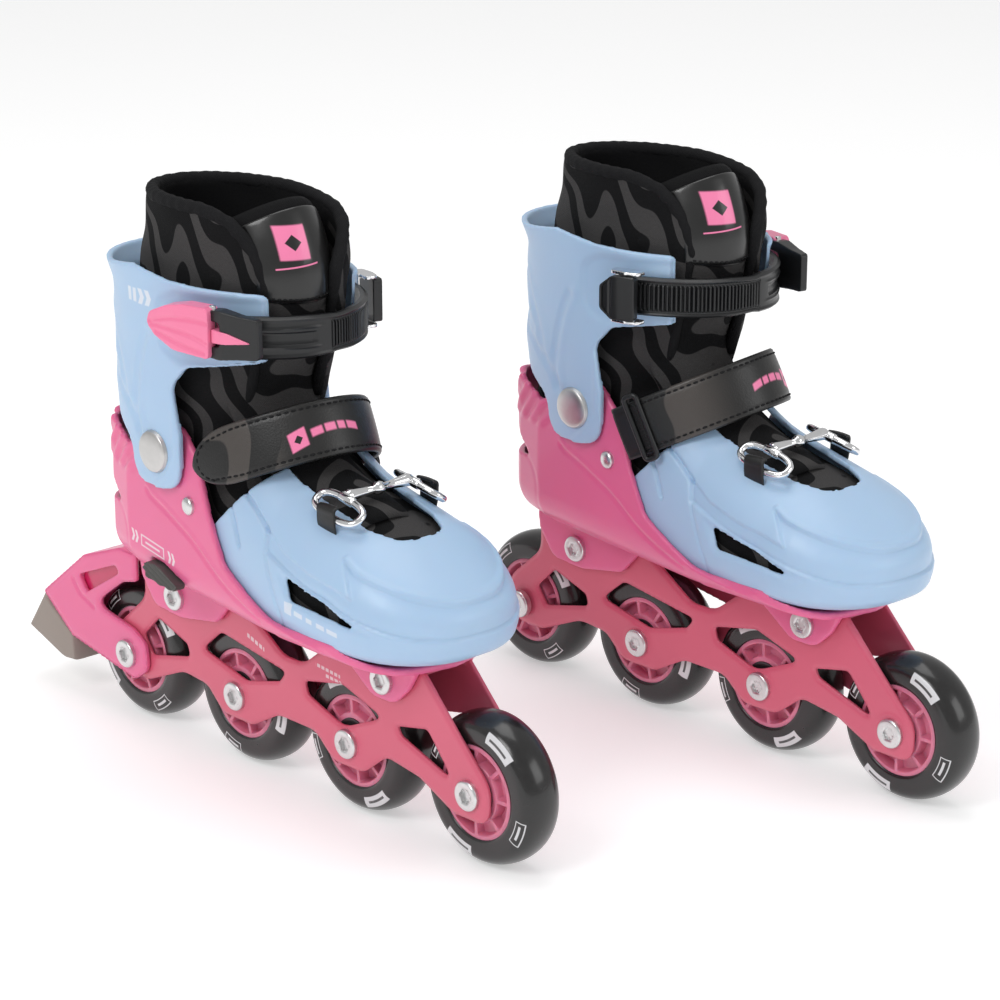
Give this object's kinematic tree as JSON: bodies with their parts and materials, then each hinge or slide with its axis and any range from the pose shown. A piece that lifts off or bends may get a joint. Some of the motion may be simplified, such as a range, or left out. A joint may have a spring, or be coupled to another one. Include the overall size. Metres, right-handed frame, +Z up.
{
  "type": "adjustable inline skates",
  "caption": "Pair of adjustable inline skates with sliding toe shells, hinged cuffs, inner boots, in-line wheels and a heel brake on the right skate.",
  "frame": {"origin": "middle of the pair's bounding box, on the floor under the wheels", "axes": "+X the way the skates roll forward, +Y to the skater's left, +Z up; the right skate is at -Y"},
  "size_m": [0.4462, 0.3074, 0.274],
  "materials": {
    "blue_shell": "satin injection-moulded shell, sculpted panels",
    "pink_shell": "semi-gloss injection-moulded plastic",
    "coral_frame": "powder-coated, rounded edges",
    "zinc_fasteners": "bright zinc with fine turning marks",
    "bearing_steel": "ground steel races with dark shields",
    "bright_chrome": "polished plating",
    "black_urethane": "glossy black cast urethane on a moulded pink hub",
    "liner_knit": "black knit with a dark grey wavy pattern",
    "leatherette": "black coated fabric, stitched edge",
    "black_nylon": "black moulded nylon",
    "dark_grey_nylon": "dark grey moulded nylon, ribbed",
    "brake_rubber": "warm grey moulded rubber, matt"
  },
  "bodies": {
    "right_chassis": {"right_frame": "coral_frame", "right_heel_shell": "pink_shell", "right_liner_foot": "liner_knit", "right_instep_strap": "leatherette", "right_cuff_rivet_lateral": "zinc_fasteners", "right_cuff_rivet_medial": "zinc_fasteners", "right_mount_bolt_rear": "zinc_fasteners", "right_mount_bolt_front": "zinc_fasteners", "right_axle_bolt_1": "zinc_fasteners", "right_axle_bolt_2": "zinc_fasteners", "right_axle_bolt_3": "zinc_fasteners", "right_axle_bolt_4": "zinc_fasteners", "right_brake_arm": "pink_shell", "right_brake_pad": "brake_rubber"},
    "right_toe": {"right_toe_shell": "blue_shell", "right_toe_clip": "bright_chrome"},
    "right_cuff_and_tongue": {"right_cuff": "blue_shell", "right_liner_collar": "liner_knit", "right_ladder_strap": "black_nylon", "right_ratchet_bracket": "bright_chrome"},
    "right_cam_lever": {"right_buckle_lever": "pink_shell"},
    "right_ratchet_cap": {"right_ratchet_lever": "black_nylon"},
    "right_size_catch": {"right_size_button": "dark_grey_nylon"},
    "right_wheel_set_1": {"right_wheel_1": "black_urethane", "right_bearings_1": "bearing_steel"},
    "right_wheel_set_2": {"right_wheel_2": "black_urethane", "right_bearings_2": "bearing_steel"},
    "right_wheel_set_3": {"right_wheel_3": "black_urethane", "right_bearings_3": "bearing_steel"},
    "right_wheel_set_4": {"right_wheel_4": "black_urethane", "right_bearings_4": "bearing_steel"},
    "left_chassis": {"left_frame": "coral_frame", "left_heel_shell": "pink_shell", "left_liner_foot": "liner_knit", "left_instep_strap": "leatherette", "left_cuff_rivet_lateral": "zinc_fasteners", "left_cuff_rivet_medial": "zinc_fasteners", "left_mount_bolt_rear": "zinc_fasteners", "left_mount_bolt_front": "zinc_fasteners", "left_axle_bolt_1": "zinc_fasteners", "left_axle_bolt_2": "zinc_fasteners", "left_axle_bolt_3": "zinc_fasteners", "left_axle_bolt_4": "zinc_fasteners"},
    "left_toe": {"left_toe_shell": "blue_shell", "left_toe_clip": "bright_chrome"},
    "left_cuff_and_tongue": {"left_cuff": "blue_shell", "left_liner_collar": "liner_knit", "left_ladder_strap": "black_nylon", "left_ratchet_bracket": "bright_chrome"},
    "left_cam_lever": {"left_buckle_lever": "pink_shell"},
    "left_ratchet_cap": {"left_ratchet_lever": "black_nylon"},
    "left_size_catch": {"left_size_button": "dark_grey_nylon"},
    "left_wheel_set_1": {"left_wheel_1": "black_urethane", "left_bearings_1": "bearing_steel"},
    "left_wheel_set_2": {"left_wheel_2": "black_urethane", "left_bearings_2": "bearing_steel"},
    "left_wheel_set_3": {"left_wheel_3": "black_urethane", "left_bearings_3": "bearing_steel"},
    "left_wheel_set_4": {"left_wheel_4": "black_urethane", "left_bearings_4": "bearing_steel"}
  },
  "joints": [
    {"name": "right_toe_slide", "type": "slide", "parent": "right_chassis", "child": "right_toe", "axis": [1, 0, 0], "range_m": [0, 0.02]},
    {"name": "right_ankle_flex", "type": "hinge", "parent": "right_chassis", "child": "right_cuff_and_tongue", "pos_m": [-0.0701, -0.09475, 0.159], "axis": [0, 1, 0], "range_deg": [0, 12]},
    {"name": "right_cam_lever_turn", "type": "hinge", "parent": "right_cuff_and_tongue", "child": "right_cam_lever", "pos_m": [-0.0236, -0.13705, 0.224], "axis": [0, 0, 1], "range_deg": [0, 85]},
    {"name": "right_ratchet_cap_lift", "type": "hinge", "parent": "right_cuff_and_tongue", "child": "right_ratchet_cap", "pos_m": [-0.0281, -0.04885, 0.2215], "axis": [0, 0, -1], "range_deg": [0, 40], "stiffness_Nm_per_rad": 0.05, "springref_deg": -11.46},
    {"name": "right_size_catch_press", "type": "slide", "parent": "right_chassis", "child": "right_size_catch", "axis": [0, 1, 0], "range_m": [0, 0.0015], "stiffness_N_per_m": 400, "springref_m": -0.0005},
    {"name": "right_wheel_1_spin", "type": "hinge", "parent": "right_chassis", "child": "right_wheel_set_1", "pos_m": [-0.1356, -0.09475, 0.035], "axis": [0, 1, 0], "continuous": true},
    {"name": "right_wheel_2_spin", "type": "hinge", "parent": "right_chassis", "child": "right_wheel_set_2", "pos_m": [-0.0546, -0.09475, 0.035], "axis": [0, 1, 0], "continuous": true},
    {"name": "right_wheel_3_spin", "type": "hinge", "parent": "right_chassis", "child": "right_wheel_set_3", "pos_m": [0.0264, -0.09475, 0.035], "axis": [0, 1, 0], "continuous": true},
    {"name": "right_wheel_4_spin", "type": "hinge", "parent": "right_chassis", "child": "right_wheel_set_4", "pos_m": [0.1074, -0.09475, 0.035], "axis": [0, 1, 0], "continuous": true},
    {"name": "left_skate_shift", "type": "slide", "parent": "right_chassis", "child": "left_chassis", "axis": [1, 0, 0], "range_m": [-0.08, 0]},
    {"name": "left_toe_slide", "type": "slide", "parent": "left_chassis", "child": "left_toe", "axis": [1, 0, 0], "range_m": [0, 0.02]},
    {"name": "left_ankle_flex", "type": "hinge", "parent": "left_chassis", "child": "left_cuff_and_tongue", "pos_m": [0.0106, 0.09475, 0.159], "axis": [0, 1, 0], "range_deg": [0, 12]},
    {"name": "left_cam_lever_turn", "type": "hinge", "parent": "left_cuff_and_tongue", "child": "left_cam_lever", "pos_m": [0.0571, 0.13705, 0.224], "axis": [0, 0, -1], "range_deg": [0, 85]},
    {"name": "left_ratchet_cap_lift", "type": "hinge", "parent": "left_cuff_and_tongue", "child": "left_ratchet_cap", "pos_m": [0.0526, 0.04885, 0.2215], "axis": [0, 0, 1], "range_deg": [0, 40], "stiffness_Nm_per_rad": 0.05, "springref_deg": -11.46},
    {"name": "left_size_catch_press", "type": "slide", "parent": "left_chassis", "child": "left_size_catch", "axis": [0, -1, 0], "range_m": [0, 0.0015], "stiffness_N_per_m": 400, "springref_m": -0.0005},
    {"name": "left_wheel_1_spin", "type": "hinge", "parent": "left_chassis", "child": "left_wheel_set_1", "pos_m": [-0.0549, 0.09475, 0.035], "axis": [0, 1, 0], "continuous": true},
    {"name": "left_wheel_2_spin", "type": "hinge", "parent": "left_chassis", "child": "left_wheel_set_2", "pos_m": [0.0261, 0.09475, 0.035], "axis": [0, 1, 0], "continuous": true},
    {"name": "left_wheel_3_spin", "type": "hinge", "parent": "left_chassis", "child": "left_wheel_set_3", "pos_m": [0.1071, 0.09475, 0.035], "axis": [0, 1, 0], "continuous": true},
    {"name": "left_wheel_4_spin", "type": "hinge", "parent": "left_chassis", "child": "left_wheel_set_4", "pos_m": [0.1881, 0.09475, 0.035], "axis": [0, 1, 0], "continuous": true}
  ]
}
